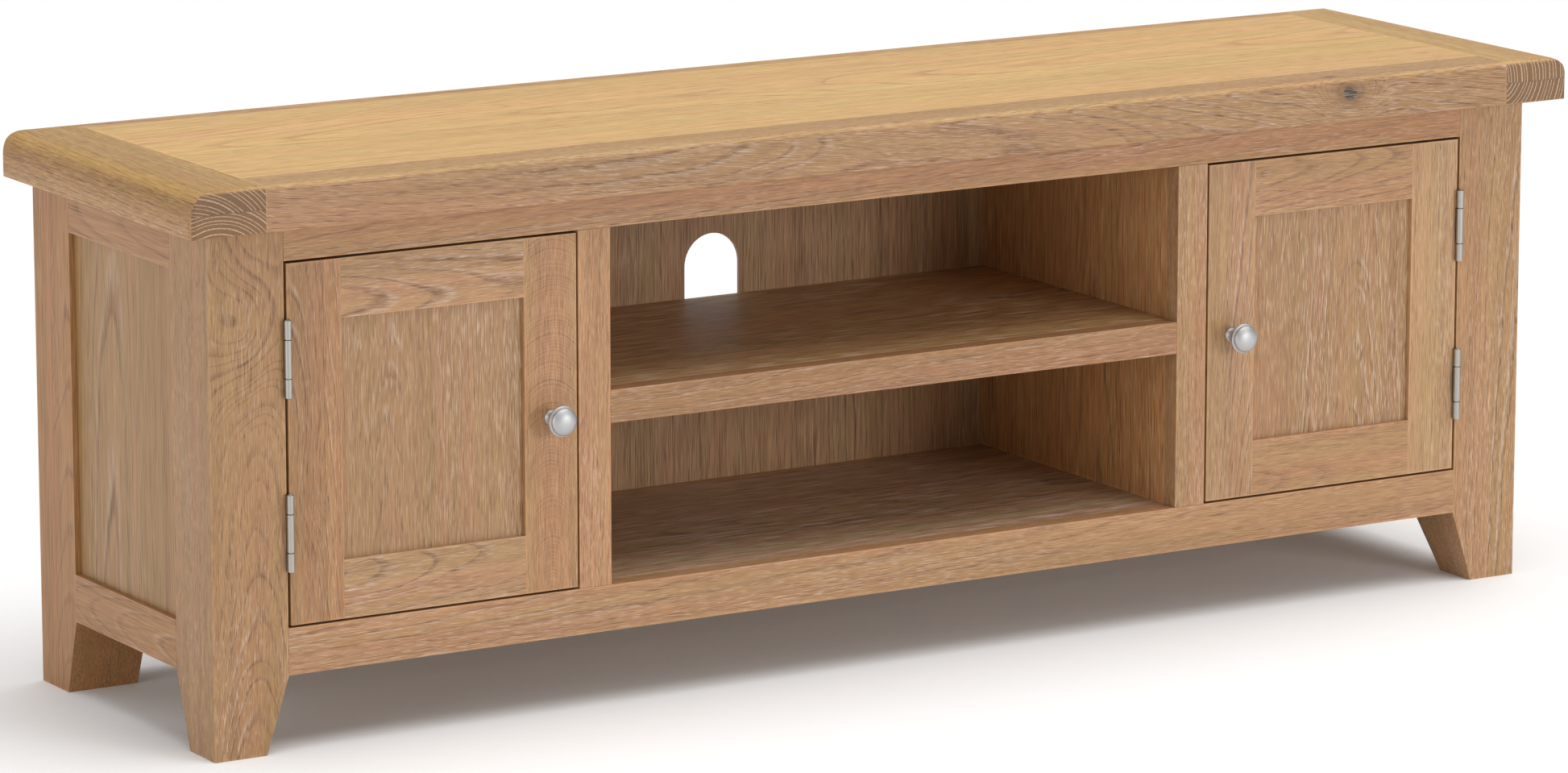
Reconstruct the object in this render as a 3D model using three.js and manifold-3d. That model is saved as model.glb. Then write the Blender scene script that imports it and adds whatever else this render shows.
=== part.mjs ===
// A media cabinet in solid oak: a framed top, four tapered posts, two side frames with panels, an
// open middle bay with one shelf and a cable slot, and two framed doors on butt hinges.
// Millimetres, +X right, front faces -Y, +Z up. The origin is on the floor under the middle.
import * as THREE from 'three';
import { mergeVertices } from 'three/addons/utils/BufferGeometryUtils.js';
import Module from 'manifold-3d';

const wasm = await Module();
wasm.setup();

// ---- driving dimensions ---------------------------------------------------------------------

const HEIGHT = 522;
const TOP = { width: 1500, depth: 390, thick: 42, endBoard: 74, frontRail: 48, rearRail: 28 };
const TOP_EDGE = { endRun: 24, endDrop: 33, fullness: 2.4, frontRadius: 8, cornerRadius: 7, steps: 14 };
const OVERHANG = { front: 31, side: 31, rear: 1 };

const POST = 75;
const FOOT = { taperFrom: 71, front: { x: 52, y: 50 }, rear: { x: 71, y: 55 } };

const FRAME_THICK = 20;
const FRONT_RAIL = { bottomLow: 71, bottomHigh: 114, topLow: 447 };
const SIDE_RAIL = { thick: 22, bottomHigh: 116, topLow: 436 };
const SIDE_PANEL = { recess: 6, thick: 10, tongue: 8 };
const TENON = { thick: 8, length: 12, inset: 7 };

const BAY = { halfWidth: 312, stileWide: 33.5 };
const DIVIDER = { setBack: 1.5, thick: 20 };
const BOTTOM_PANEL = { top: 113.5, thick: 18 };
const SHELF = { top: 296, thick: 18, lipHigh: 31, housing: 4 };
const BACK_PANEL = { inset: 6.5, thick: 5, tongue: 8, low: 103.5, high: 457 };
const REAR_RAIL = { thick: 20, topLow: 447 };
const CABLE_SLOT = { radius: 31, low: 218, high: 358 };

const DOOR = { hingeGap: 2.6, freeGap: 2.2, frame: 54, thick: 20, panelSetBack: 5, panelThick: 8 };
const DOOR_TONGUE = { panel: 8, rail: 10, inset: 5.5 };
const KNOB_Z = 277.4;

const HINGE = { length: 70, endKnuckle: 17, knuckleGap: 0.8, radius: 3.5, bore: 1.8, standOff: 3.8 };
const HINGE_LEAF = { thick: 1.2, depth: 18, fromMiddle: 79 };
const HINGE_PIN = { radius: 1.5, headRadius: 2.4, headHigh: 1.1 };
const CATCH = { width: 46, depth: 24, height: 13, fromCentre: 420, gap: 0.3 };
const STRIKE = { width: 38, height: 9, thick: 1, low: 117 };

const GAP = 0.3;
const ROUND = 24;

// ---- places worked out from them ------------------------------------------------------------

const UNDERSIDE = HEIGHT - TOP.thick;
const FRONT = -TOP.depth / 2 + OVERHANG.front;
const REAR = TOP.depth / 2 - OVERHANG.rear;
const SIDE = TOP.width / 2 - OVERHANG.side;
const POST_INNER = SIDE - POST;
const FRAME_REAR = FRONT + FRAME_THICK;
const BACK_FACE = REAR - BACK_PANEL.inset - BACK_PANEL.thick;
const REAR_RAIL_FRONT = REAR - REAR_RAIL.thick;
const BAY_STILE_OUTER = BAY.halfWidth + BAY.stileWide;
const DIVIDER_INNER = BAY.halfWidth + DIVIDER.setBack;

const DOOR_HINGE_X = POST_INNER - DOOR.hingeGap;
const DOOR_FREE_X = BAY_STILE_OUTER + DOOR.freeGap;
const DOOR_LOW = FRONT_RAIL.bottomHigh + DOOR.freeGap;
const DOOR_HIGH = FRONT_RAIL.topLow - DOOR.freeGap;
const DOOR_MIDDLE = (DOOR_LOW + DOOR_HIGH) / 2;
const DOOR_REAR = FRONT + DOOR.thick;
const KNOB_X = DOOR_FREE_X + DOOR.frame / 2;
const HINGE_X = POST_INNER - DOOR.hingeGap / 2;
const HINGE_Y = FRONT - HINGE.standOff;

const SIDES = { left: -1, right: 1 };

// ---- finishes -------------------------------------------------------------------------------

const FINISHES = {
  top: { color: 0xd8b17e, roughness: 0.42, metalness: 0 },
  topFrame: { color: 0xcda876, roughness: 0.45, metalness: 0 },
  frame: { color: 0xb08a68, roughness: 0.55, metalness: 0 },
  side: { color: 0xa38462, roughness: 0.58, metalness: 0 },
  door: { color: 0xb4906c, roughness: 0.55, metalness: 0 },
  doorPanel: { color: 0xaf8c6d, roughness: 0.58, metalness: 0 },
  inside: { color: 0xa07f60, roughness: 0.62, metalness: 0 },
  nickel: { color: 0xb4b1af, roughness: 0.3, metalness: 1 },
  steel: { color: 0x9e968d, roughness: 0.35, metalness: 1 },
  plastic: { color: 0x5b4636, roughness: 0.6, metalness: 0 },
};

function finish(name) {
  return new THREE.MeshStandardMaterial(FINISHES[name]);
}

// ---- solids ---------------------------------------------------------------------------------

function bareGeometry(geometry) {
  const bare = geometry.index ? geometry.toNonIndexed() : geometry.clone();
  for (const name of Object.keys(bare.attributes)) {
    if (name !== 'position') bare.deleteAttribute(name);
  }
  return mergeVertices(bare, 1e-4);
}

function solid(geometry) {
  const bare = bareGeometry(geometry);
  const vertProperties = new Float32Array(bare.attributes.position.array);
  const triVerts = new Uint32Array(bare.index.array);
  return new wasm.Manifold(new wasm.Mesh({ numProp: 3, vertProperties, triVerts }));
}

function geometryOf(manifold) {
  const mesh = manifold.getMesh();
  const geometry = new THREE.BufferGeometry();
  geometry.setAttribute('position', new THREE.BufferAttribute(new Float32Array(mesh.vertProperties), 3));
  geometry.setIndex(new THREE.BufferAttribute(new Uint32Array(mesh.triVerts), 1));
  geometry.computeVertexNormals();
  return geometry;
}

function extrusion(shape, depth, curveSegments = ROUND) {
  return new THREE.ExtrudeGeometry(shape, { depth, bevelEnabled: false, curveSegments });
}

// A box given by its ranges on X, Y and Z.
function block(x, y, z) {
  const geometry = new THREE.BoxGeometry(x[1] - x[0], y[1] - y[0], z[1] - z[0]);
  geometry.translate((x[0] + x[1]) / 2, (y[0] + y[1]) / 2, (z[0] + z[1]) / 2);
  return geometry;
}

// The range from a to b on the left (-1) or right (+1) side.
function span(side, a, b) {
  return side < 0 ? [-b, -a] : [a, b];
}

function subtractAll(body, cutters) {
  return cutters.reduce((rest, cutter) => rest.subtract(cutter), body);
}

function addAll(body, extras) {
  return extras.reduce((whole, extra) => whole.add(extra), body);
}

const blockSolid = (x, y, z) => solid(block(x, y, z));

// ---- the object -----------------------------------------------------------------------------

const cabinet = new THREE.Group();

// Adds one named piece. Its mesh sits at the middle of its own bounds.
function place(name, finishName, shape) {
  const geometry = shape instanceof THREE.BufferGeometry ? shape : geometryOf(shape);
  geometry.computeBoundingBox();
  const middle = geometry.boundingBox.getCenter(new THREE.Vector3());
  geometry.translate(-middle.x, -middle.y, -middle.z);
  const mesh = new THREE.Mesh(geometry, finish(finishName));
  mesh.name = name;
  mesh.position.copy(middle);
  cabinet.add(mesh);
  return mesh;
}

// ---- top ------------------------------------------------------------------------------------

// The end boards' outline across the cabinet: a full quarter round at both ends.
function topAcross() {
  const half = TOP.width / 2;
  const points = [];
  for (let step = 0; step <= TOP_EDGE.steps; step += 1) {
    const turn = (step / TOP_EDGE.steps) * (Math.PI / 2);
    const run = Math.pow(Math.cos(turn), 2 / TOP_EDGE.fullness);
    const rise = Math.pow(Math.sin(turn), 2 / TOP_EDGE.fullness);
    const x = half - TOP_EDGE.endRun * (1 - run);
    const z = HEIGHT - TOP_EDGE.endDrop * (1 - rise);
    points.push([x, z]);
  }
  const shape = new THREE.Shape();
  shape.moveTo(-half + 1, UNDERSIDE);
  shape.lineTo(half - 1, UNDERSIDE);
  for (const [x, z] of points) shape.lineTo(x, z);
  for (const [x, z] of points.reverse()) shape.lineTo(-x, z);
  shape.closePath();
  const geometry = extrusion(shape, TOP.depth);
  geometry.rotateX(Math.PI / 2);
  geometry.translate(0, TOP.depth / 2, 0);
  return solid(geometry);
}

// The outline front to back: eased upper corners and slightly eased lower ones.
function topAlong() {
  const half = TOP.depth / 2;
  const radius = TOP_EDGE.frontRadius;
  const shape = new THREE.Shape();
  shape.moveTo(-half + 1, UNDERSIDE);
  shape.lineTo(half - 1, UNDERSIDE);
  shape.lineTo(half, UNDERSIDE + 1);
  shape.lineTo(half, HEIGHT - radius);
  shape.absarc(half - radius, HEIGHT - radius, radius, 0, Math.PI / 2, false);
  shape.lineTo(-half + radius, HEIGHT);
  shape.absarc(-half + radius, HEIGHT - radius, radius, Math.PI / 2, Math.PI, false);
  shape.lineTo(-half, UNDERSIDE + 1);
  shape.closePath();
  const geometry = extrusion(shape, TOP.width, 6);
  geometry.rotateX(Math.PI / 2);
  geometry.rotateZ(Math.PI / 2);
  geometry.translate(-TOP.width / 2, 0, 0);
  return solid(geometry);
}

// The outline seen from above, with rounded corners.
function topPlan() {
  const x = TOP.width / 2;
  const y = TOP.depth / 2;
  const radius = TOP_EDGE.cornerRadius;
  const shape = new THREE.Shape();
  shape.moveTo(-x + radius, -y);
  shape.lineTo(x - radius, -y);
  shape.absarc(x - radius, -y + radius, radius, -Math.PI / 2, 0, false);
  shape.lineTo(x, y - radius);
  shape.absarc(x - radius, y - radius, radius, 0, Math.PI / 2, false);
  shape.lineTo(-x + radius, y);
  shape.absarc(-x + radius, y - radius, radius, Math.PI / 2, Math.PI, false);
  shape.lineTo(-x, -y + radius);
  shape.absarc(-x + radius, -y + radius, radius, Math.PI, Math.PI * 1.5, false);
  const geometry = extrusion(shape, TOP.thick, 6);
  geometry.translate(0, 0, UNDERSIDE);
  return solid(geometry);
}

function addTop() {
  const whole = topAcross().intersect(topAlong()).intersect(topPlan());
  const half = { x: TOP.width / 2, y: TOP.depth / 2 };
  const inner = half.x - TOP.endBoard;
  const frontJoint = -half.y + TOP.frontRail;
  const rearJoint = half.y - TOP.rearRail;
  const z = [UNDERSIDE, HEIGHT];
  const cut = (x, y) => whole.intersect(blockSolid(x, y, z));
  place('top_centre_board', 'top', cut([-inner, inner], [frontJoint, rearJoint]));
  place('top_front_rail', 'topFrame', cut([-inner, inner], [-half.y, frontJoint]));
  place('top_rear_rail', 'topFrame', cut([-inner, inner], [rearJoint, half.y]));
  for (const [name, side] of Object.entries(SIDES)) {
    place(`top_end_board_${name}`, 'topFrame', cut(span(side, inner, half.x), [-half.y, half.y]));
  }
}

// ---- posts ----------------------------------------------------------------------------------

// A wedge that tapers one inner face of a foot. 'run' is how far it cuts in at the floor.
function taperWedge(run) {
  const shape = new THREE.Shape();
  shape.moveTo(0, FOOT.taperFrom);
  shape.lineTo(-run, 0);
  shape.lineTo(-run, -1);
  shape.lineTo(POST, -1);
  shape.lineTo(POST, FOOT.taperFrom);
  shape.closePath();
  const geometry = extrusion(shape, 3 * POST);
  geometry.rotateX(Math.PI / 2);
  geometry.translate(0, 1.5 * POST, 0);
  return geometry;
}

// Stub tenons of the front and rear rails, entering a post from its inner face.
function railTenon(side, y, z) {
  return blockSolid(span(side, POST_INNER, POST_INNER + TENON.length), y, z);
}

const FRONT_TENON_Y = [FRONT + TENON.inset, FRONT + TENON.inset + TENON.thick];
const REAR_TENON_Y = [REAR_RAIL_FRONT + 6, REAR_RAIL_FRONT + 6 + TENON.thick];
const FRONT_TENON_Z = {
  bottom: [FRONT_RAIL.bottomLow + 5, FRONT_RAIL.bottomHigh - 5],
  top: [FRONT_RAIL.topLow + 5, UNDERSIDE - 5],
};
const REAR_TENON_Z = { bottom: [76, 98], top: [461, UNDERSIDE - 5] };
const SIDE_TENON_Z = { bottom: [76, 104], top: [449, UNDERSIDE - 5] };

function sideTenon(side, atFront, z) {
  const inner = SIDE - TENON.inset - TENON.thick;
  const start = atFront ? FRONT + POST - TENON.length : REAR - POST;
  return blockSolid(span(side, inner, inner + TENON.thick), [start, start + TENON.length], z);
}

// The panel of one side frame, and the grooves that hold it.
function sidePanel(side, play) {
  const outer = SIDE - SIDE_PANEL.recess;
  const grow = SIDE_PANEL.tongue + play;
  return blockSolid(
    span(side, outer - SIDE_PANEL.thick, outer),
    [FRONT + POST - grow, REAR - POST + grow],
    [SIDE_RAIL.bottomHigh - grow, SIDE_RAIL.topLow + grow],
  );
}

function backPanel(play) {
  const half = POST_INNER + BACK_PANEL.tongue + play;
  const y = [BACK_FACE, BACK_FACE + BACK_PANEL.thick];
  return blockSolid([-half, half], y, [BACK_PANEL.low - play, BACK_PANEL.high + play]);
}

function postSolid(side, atFront) {
  const y = atFront ? [FRONT, FRONT + POST] : [REAR - POST, REAR];
  const foot = atFront ? FOOT.front : FOOT.rear;
  const body = blockSolid(span(side, POST_INNER, SIDE), y, [0, UNDERSIDE]);
  const acrossWedge = taperWedge(POST - foot.x);
  acrossWedge.rotateZ(side > 0 ? Math.PI : 0);
  acrossWedge.translate(side * POST_INNER, atFront ? FRONT : REAR, 0);
  const alongWedge = taperWedge(POST - foot.y);
  alongWedge.rotateZ(atFront ? Math.PI / 2 : -Math.PI / 2);
  alongWedge.translate(side * SIDE, atFront ? FRONT + POST : REAR - POST, 0);
  const tenonY = atFront ? FRONT_TENON_Y : REAR_TENON_Y;
  const tenonZ = atFront ? FRONT_TENON_Z : REAR_TENON_Z;
  const cuts = [
    solid(acrossWedge),
    solid(alongWedge),
    sidePanel(side, GAP),
    railTenon(side, tenonY, tenonZ.bottom),
    railTenon(side, tenonY, tenonZ.top),
    sideTenon(side, atFront, SIDE_TENON_Z.bottom),
    sideTenon(side, atFront, SIDE_TENON_Z.top),
  ];
  if (atFront) cuts.push(...hingeLevels().map((z) => leafPlate(side, 'frame', z)));
  else cuts.push(backPanel(GAP));
  return subtractAll(body, cuts);
}

// ---- rails, side frames and panels ----------------------------------------------------------

function acrossRail(y, z, tenonY, tenonZ) {
  const body = blockSolid([-POST_INNER, POST_INNER], y, z);
  return addAll(body, [railTenon(-1, tenonY, tenonZ), railTenon(1, tenonY, tenonZ)]);
}

function stileTenon(side, low, high) {
  const centre = (BAY.halfWidth + BAY_STILE_OUTER) / 2;
  return blockSolid(span(side, centre - 10, centre + 10), FRONT_TENON_Y, [low, high]);
}

function addFrontAndRearRails() {
  const y = [FRONT, FRAME_REAR];
  const bottomZ = [FRONT_RAIL.bottomLow, FRONT_RAIL.bottomHigh];
  const topZ = [FRONT_RAIL.topLow, UNDERSIDE];
  const lowMortises = [-1, 1].map((side) => stileTenon(side, bottomZ[1] - 10, bottomZ[1]));
  const highMortises = [-1, 1].map((side) => stileTenon(side, topZ[0], topZ[0] + 10));
  const bottom = acrossRail(y, bottomZ, FRONT_TENON_Y, FRONT_TENON_Z.bottom);
  const top = acrossRail(y, topZ, FRONT_TENON_Y, FRONT_TENON_Z.top);
  place('front_bottom_rail', 'frame', subtractAll(bottom, lowMortises));
  place('front_top_rail', 'frame', subtractAll(top, highMortises));

  const rearY = [REAR_RAIL_FRONT, REAR];
  const rearBottom = acrossRail(rearY, [71, BOTTOM_PANEL.top], REAR_TENON_Y, REAR_TENON_Z.bottom);
  const rearTop = acrossRail(rearY, [REAR_RAIL.topLow, UNDERSIDE], REAR_TENON_Y, REAR_TENON_Z.top);
  place('rear_bottom_rail', 'frame', rearBottom.subtract(backPanel(GAP)));
  place('rear_top_rail', 'frame', rearTop.subtract(backPanel(GAP)));
}

function sideRail(side, z, tenonZ) {
  const body = blockSolid(span(side, SIDE - SIDE_RAIL.thick, SIDE), [FRONT + POST, REAR - POST], z);
  const tenons = [sideTenon(side, true, tenonZ), sideTenon(side, false, tenonZ)];
  return addAll(body, tenons).subtract(sidePanel(side, GAP));
}

function addSideFrames() {
  for (const [name, side] of Object.entries(SIDES)) {
    place(`post_front_${name}`, 'frame', postSolid(side, true));
    place(`post_rear_${name}`, 'side', postSolid(side, false));
    const bottomZ = [71, SIDE_RAIL.bottomHigh];
    place(`side_bottom_rail_${name}`, 'side', sideRail(side, bottomZ, SIDE_TENON_Z.bottom));
    const topZ = [SIDE_RAIL.topLow, UNDERSIDE];
    place(`side_top_rail_${name}`, 'side', sideRail(side, topZ, SIDE_TENON_Z.top));
    place(`side_panel_${name}`, 'side', sidePanel(side, 0));
  }
}

// ---- the open middle bay --------------------------------------------------------------------

// The shelf board reaches a little into a housing in each divider.
function shelfBoard() {
  const half = DIVIDER_INNER + SHELF.housing;
  return blockSolid([-half, half], [FRAME_REAR, BACK_FACE], [SHELF.top - SHELF.thick, SHELF.top]);
}

// A slot with round ends, cut through the back panel behind the shelf.
function cableSlot() {
  const { radius, low, high } = CABLE_SLOT;
  const shape = new THREE.Shape();
  shape.absarc(0, high - radius, radius, 0, Math.PI, false);
  shape.absarc(0, low + radius, radius, Math.PI, Math.PI * 2, false);
  shape.closePath();
  const geometry = extrusion(shape, 40, ROUND / 2);
  geometry.rotateX(Math.PI / 2);
  geometry.translate(0, BACK_FACE + 20, 0);
  return solid(geometry);
}

function addMiddleBay() {
  const shelf = shelfBoard();
  const rearNotch = blockSolid(
    [-SIDE, SIDE],
    [REAR_RAIL_FRONT, REAR],
    [REAR_RAIL.topLow, UNDERSIDE],
  );
  for (const [name, side] of Object.entries(SIDES)) {
    const stileBody = blockSolid(
      span(side, BAY.halfWidth, BAY_STILE_OUTER),
      [FRONT, FRAME_REAR],
      [FRONT_RAIL.bottomHigh, FRONT_RAIL.topLow],
    );
    const tenons = [
      stileTenon(side, FRONT_RAIL.bottomHigh - 10, FRONT_RAIL.bottomHigh),
      stileTenon(side, FRONT_RAIL.topLow, FRONT_RAIL.topLow + 10),
    ];
    place(`centre_stile_${name}`, 'frame', addAll(stileBody, tenons));
    const divider = blockSolid(
      span(side, DIVIDER_INNER, DIVIDER_INNER + DIVIDER.thick),
      [FRAME_REAR, BACK_FACE],
      [BOTTOM_PANEL.top, UNDERSIDE],
    );
    place(`divider_${name}`, 'inside', subtractAll(divider, [shelf, rearNotch]));
  }
  place('shelf', 'inside', shelf);
  place('shelf_lip', 'frame', block(
    [-BAY.halfWidth, BAY.halfWidth],
    [FRONT, FRAME_REAR],
    [SHELF.top - SHELF.lipHigh, SHELF.top],
  ));
  place('back_panel', 'inside', backPanel(0).subtract(cableSlot()));
  addBottomPanel();
}

// One board across the whole cabinet, notched round the four posts.
function addBottomPanel() {
  const z = [BOTTOM_PANEL.top - BOTTOM_PANEL.thick, BOTTOM_PANEL.top];
  const wide = SIDE - SIDE_RAIL.thick;
  const middle = blockSolid([-POST_INNER, POST_INNER], [FRAME_REAR, REAR_RAIL_FRONT], z);
  const wings = blockSolid([-wide, wide], [FRONT + POST, REAR - POST], z);
  place('bottom_panel', 'inside', middle.add(wings));
}

// ---- doors ----------------------------------------------------------------------------------

const DOOR_PANEL_Y = [FRONT + DOOR.panelSetBack, FRONT + DOOR.panelSetBack + DOOR.panelThick];
const DOOR_INNER_LOW = DOOR_LOW + DOOR.frame;
const DOOR_INNER_HIGH = DOOR_HIGH - DOOR.frame;
const DOOR_INNER_FREE = DOOR_FREE_X + DOOR.frame;
const DOOR_INNER_HINGE = DOOR_HINGE_X - DOOR.frame;

function doorPanel(side, play) {
  const grow = DOOR_TONGUE.panel + play;
  const x = span(side, DOOR_INNER_FREE - grow, DOOR_INNER_HINGE + grow);
  return blockSolid(x, DOOR_PANEL_Y, [DOOR_INNER_LOW - grow, DOOR_INNER_HIGH + grow]);
}

// The tongues of one door rail, which sit in the stiles' grooves.
function doorRailTongues(side, atTop) {
  const reach = DOOR_TONGUE.rail;
  const x = span(side, DOOR_INNER_FREE - reach, DOOR_INNER_HINGE + reach);
  const inset = DOOR_TONGUE.inset;
  const grow = DOOR_TONGUE.panel + 2 * GAP;
  const z = atTop
    ? [DOOR_INNER_HIGH + grow, DOOR_HIGH - inset]
    : [DOOR_LOW + inset, DOOR_INNER_LOW - grow];
  return blockSolid(x, DOOR_PANEL_Y, z);
}

function doorRail(side, atTop) {
  const z = atTop ? [DOOR_INNER_HIGH, DOOR_HIGH] : [DOOR_LOW, DOOR_INNER_LOW];
  const body = blockSolid(span(side, DOOR_INNER_FREE, DOOR_INNER_HINGE), [FRONT, DOOR_REAR], z);
  return body.add(doorRailTongues(side, atTop)).subtract(doorPanel(side, GAP));
}

function knobHole(side) {
  const geometry = new THREE.CylinderGeometry(2.4, 2.4, 2 * DOOR.thick, ROUND);
  geometry.translate(side * KNOB_X, (FRONT + DOOR_REAR) / 2, KNOB_Z);
  return solid(geometry);
}

function doorStile(side, atHinge) {
  const x = atHinge
    ? span(side, DOOR_INNER_HINGE, DOOR_HINGE_X)
    : span(side, DOOR_FREE_X, DOOR_INNER_FREE);
  const body = blockSolid(x, [FRONT, DOOR_REAR], [DOOR_LOW, DOOR_HIGH]);
  const cuts = [doorPanel(side, GAP), doorRailTongues(side, true), doorRailTongues(side, false)];
  if (atHinge) cuts.push(...hingeLevels().map((z) => leafPlate(side, 'door', z)));
  else cuts.push(knobHole(side));
  return subtractAll(body, cuts);
}

// A turned solid whose axis runs front to back. Each profile point is [radius, distance in front
// of the door's face], listed from the front end to the rear end.
function turned(points, segments = ROUND) {
  const outline = points.map(([radius, forward]) => new THREE.Vector2(radius, -forward));
  return new THREE.LatheGeometry(outline, segments);
}

// A turned knob on a small foot, with a low dome, a ring and a groove, bored for its screw.
function knobGeometry() {
  const profile = new THREE.Path();
  profile.moveTo(0, 30.6);
  profile.quadraticCurveTo(7, 30.4, 11, 27.6);
  profile.quadraticCurveTo(12.7, 26.4, 12.7, 24.9);
  profile.quadraticCurveTo(12.7, 24.2, 12.3, 23.9);
  profile.lineTo(12.3, 23.4);
  profile.lineTo(14.2, 22.9);
  profile.quadraticCurveTo(15.2, 21.5, 13.9, 20.4);
  profile.lineTo(11, 19.8);
  profile.quadraticCurveTo(5.2, 15.4, 5, 9.4);
  profile.quadraticCurveTo(4.9, 4.2, 6.8, 2.4);
  profile.quadraticCurveTo(7.6, 1.2, 7.2, 0);
  profile.lineTo(2.3, 0);
  profile.lineTo(2.3, 15);
  profile.lineTo(0, 15);
  const points = profile.getPoints(4).map((point) => [point.x, point.y]);
  return turned(points, 2 * ROUND);
}

function addKnob(name, side) {
  const knob = knobGeometry();
  knob.translate(side * KNOB_X, FRONT, KNOB_Z);
  place(`knob_${name}`, 'nickel', knob);
  const head = -DOOR.thick;
  const screw = turned([
    [0, 14],
    [2, 14],
    [2, head],
    [4.2, head],
    [4.2, head - 1.4],
    [3, head - 2.4],
    [0, head - 2.4],
  ]);
  screw.translate(side * KNOB_X, FRONT, KNOB_Z);
  place(`knob_screw_${name}`, 'steel', screw);
}

function addDoors() {
  for (const [name, side] of Object.entries(SIDES)) {
    place(`door_hinge_stile_${name}`, 'door', doorStile(side, true));
    place(`door_knob_stile_${name}`, 'door', doorStile(side, false));
    place(`door_top_rail_${name}`, 'door', doorRail(side, true));
    place(`door_bottom_rail_${name}`, 'door', doorRail(side, false));
    place(`door_panel_${name}`, 'doorPanel', doorPanel(side, 0));
    addKnob(name, side);
    addCatch(name, side);
  }
}

// A magnet case on the bottom panel, and the steel plate it holds on the back of the door.
function addCatch(name, side) {
  const front = DOOR_REAR + STRIKE.thick + CATCH.gap;
  const x = (width) => span(side, CATCH.fromCentre - width / 2, CATCH.fromCentre + width / 2);
  const caseY = [front, front + CATCH.depth];
  const caseZ = [BOTTOM_PANEL.top, BOTTOM_PANEL.top + CATCH.height];
  place(`catch_${name}`, 'plastic', block(x(CATCH.width), caseY, caseZ));
  const plateY = [DOOR_REAR, DOOR_REAR + STRIKE.thick];
  const plateZ = [STRIKE.low, STRIKE.low + STRIKE.height];
  place(`catch_plate_${name}`, 'steel', block(x(STRIKE.width), plateY, plateZ));
}

// ---- hinges ---------------------------------------------------------------------------------

function hingeLevels() {
  return [DOOR_MIDDLE + HINGE_LEAF.fromMiddle, DOOR_MIDDLE - HINGE_LEAF.fromMiddle];
}

// The flat plate of one leaf, let flush into the post ('frame') or into the door's edge ('door').
function leafPlate(side, owner, level) {
  const x = owner === 'frame'
    ? span(side, POST_INNER, POST_INNER + HINGE_LEAF.thick)
    : span(side, DOOR_HINGE_X - HINGE_LEAF.thick, DOOR_HINGE_X);
  const z = [level - HINGE.length / 2, level + HINGE.length / 2];
  return blockSolid(x, [FRONT, FRONT + HINGE_LEAF.depth], z);
}

// An upright cylinder on the hinge's axis between two heights.
function onAxis(side, radius, low, high) {
  const geometry = new THREE.CylinderGeometry(radius, radius, high - low, ROUND);
  geometry.rotateX(Math.PI / 2);
  geometry.translate(side * HINGE_X, HINGE_Y, (low + high) / 2);
  return solid(geometry);
}

// The heights that one leaf's knuckles cover: the middle one, or the two at the ends.
function knuckleRanges(owner, level) {
  const low = level - HINGE.length / 2;
  const high = level + HINGE.length / 2;
  const reach = HINGE.endKnuckle + HINGE.knuckleGap;
  if (owner === 'frame') return [[low + reach, high - reach]];
  return [[low, low + HINGE.endKnuckle], [high - HINGE.endKnuckle, high]];
}

function hingeLeaf(side, owner, level) {
  const knuckles = knuckleRanges(owner, level);
  const inner = owner === 'frame' ? POST_INNER : DOOR_HINGE_X - HINGE_LEAF.thick;
  const x = span(side, inner, inner + HINGE_LEAF.thick);
  const extras = knuckles.flatMap(([low, high]) => [
    blockSolid(x, [HINGE_Y, FRONT + 1], [low, high]),
    onAxis(side, HINGE.radius, low, high),
  ]);
  const bore = onAxis(side, HINGE.bore, level - HINGE.length, level + HINGE.length);
  return addAll(leafPlate(side, owner, level), extras).subtract(bore);
}

// The pin, with a small domed head at each end of the barrel.
function hingePin(side, level) {
  const end = HINGE.length / 2;
  const { radius, headRadius, headHigh } = HINGE_PIN;
  const outline = [
    [0, -end - headHigh],
    [headRadius * 0.6, -end - headHigh],
    [headRadius, -end - headHigh * 0.45],
    [headRadius, -end],
    [radius, -end],
    [radius, end],
    [headRadius, end],
    [headRadius, end + headHigh * 0.45],
    [headRadius * 0.6, end + headHigh],
    [0, end + headHigh],
  ].map(([x, y]) => new THREE.Vector2(x, y));
  const geometry = new THREE.LatheGeometry(outline, ROUND);
  geometry.rotateX(Math.PI / 2);
  geometry.translate(side * HINGE_X, HINGE_Y, level);
  return geometry;
}

function addHinges() {
  for (const [name, side] of Object.entries(SIDES)) {
    hingeLevels().forEach((level, index) => {
      const which = `${name}_${index === 0 ? 'upper' : 'lower'}`;
      place(`hinge_frame_leaf_${which}`, 'steel', hingeLeaf(side, 'frame', level));
      place(`hinge_door_leaf_${which}`, 'steel', hingeLeaf(side, 'door', level));
      place(`hinge_pin_${which}`, 'steel', hingePin(side, level));
    });
  }
}

addTop();
addSideFrames();
addFrontAndRearRails();
addMiddleBay();
addDoors();
addHinges();

export default cabinet;
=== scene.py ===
"""Looks for the media cabinet: limed oak, satin nickel knobs and steel butt hinges on a pale floor.

Row frame, in metres: +X right, the doors face -Y, +Z up, origin on the floor under the middle.
"""

import math

import bmesh
import bpy
from mathutils import Matrix, Vector


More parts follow.
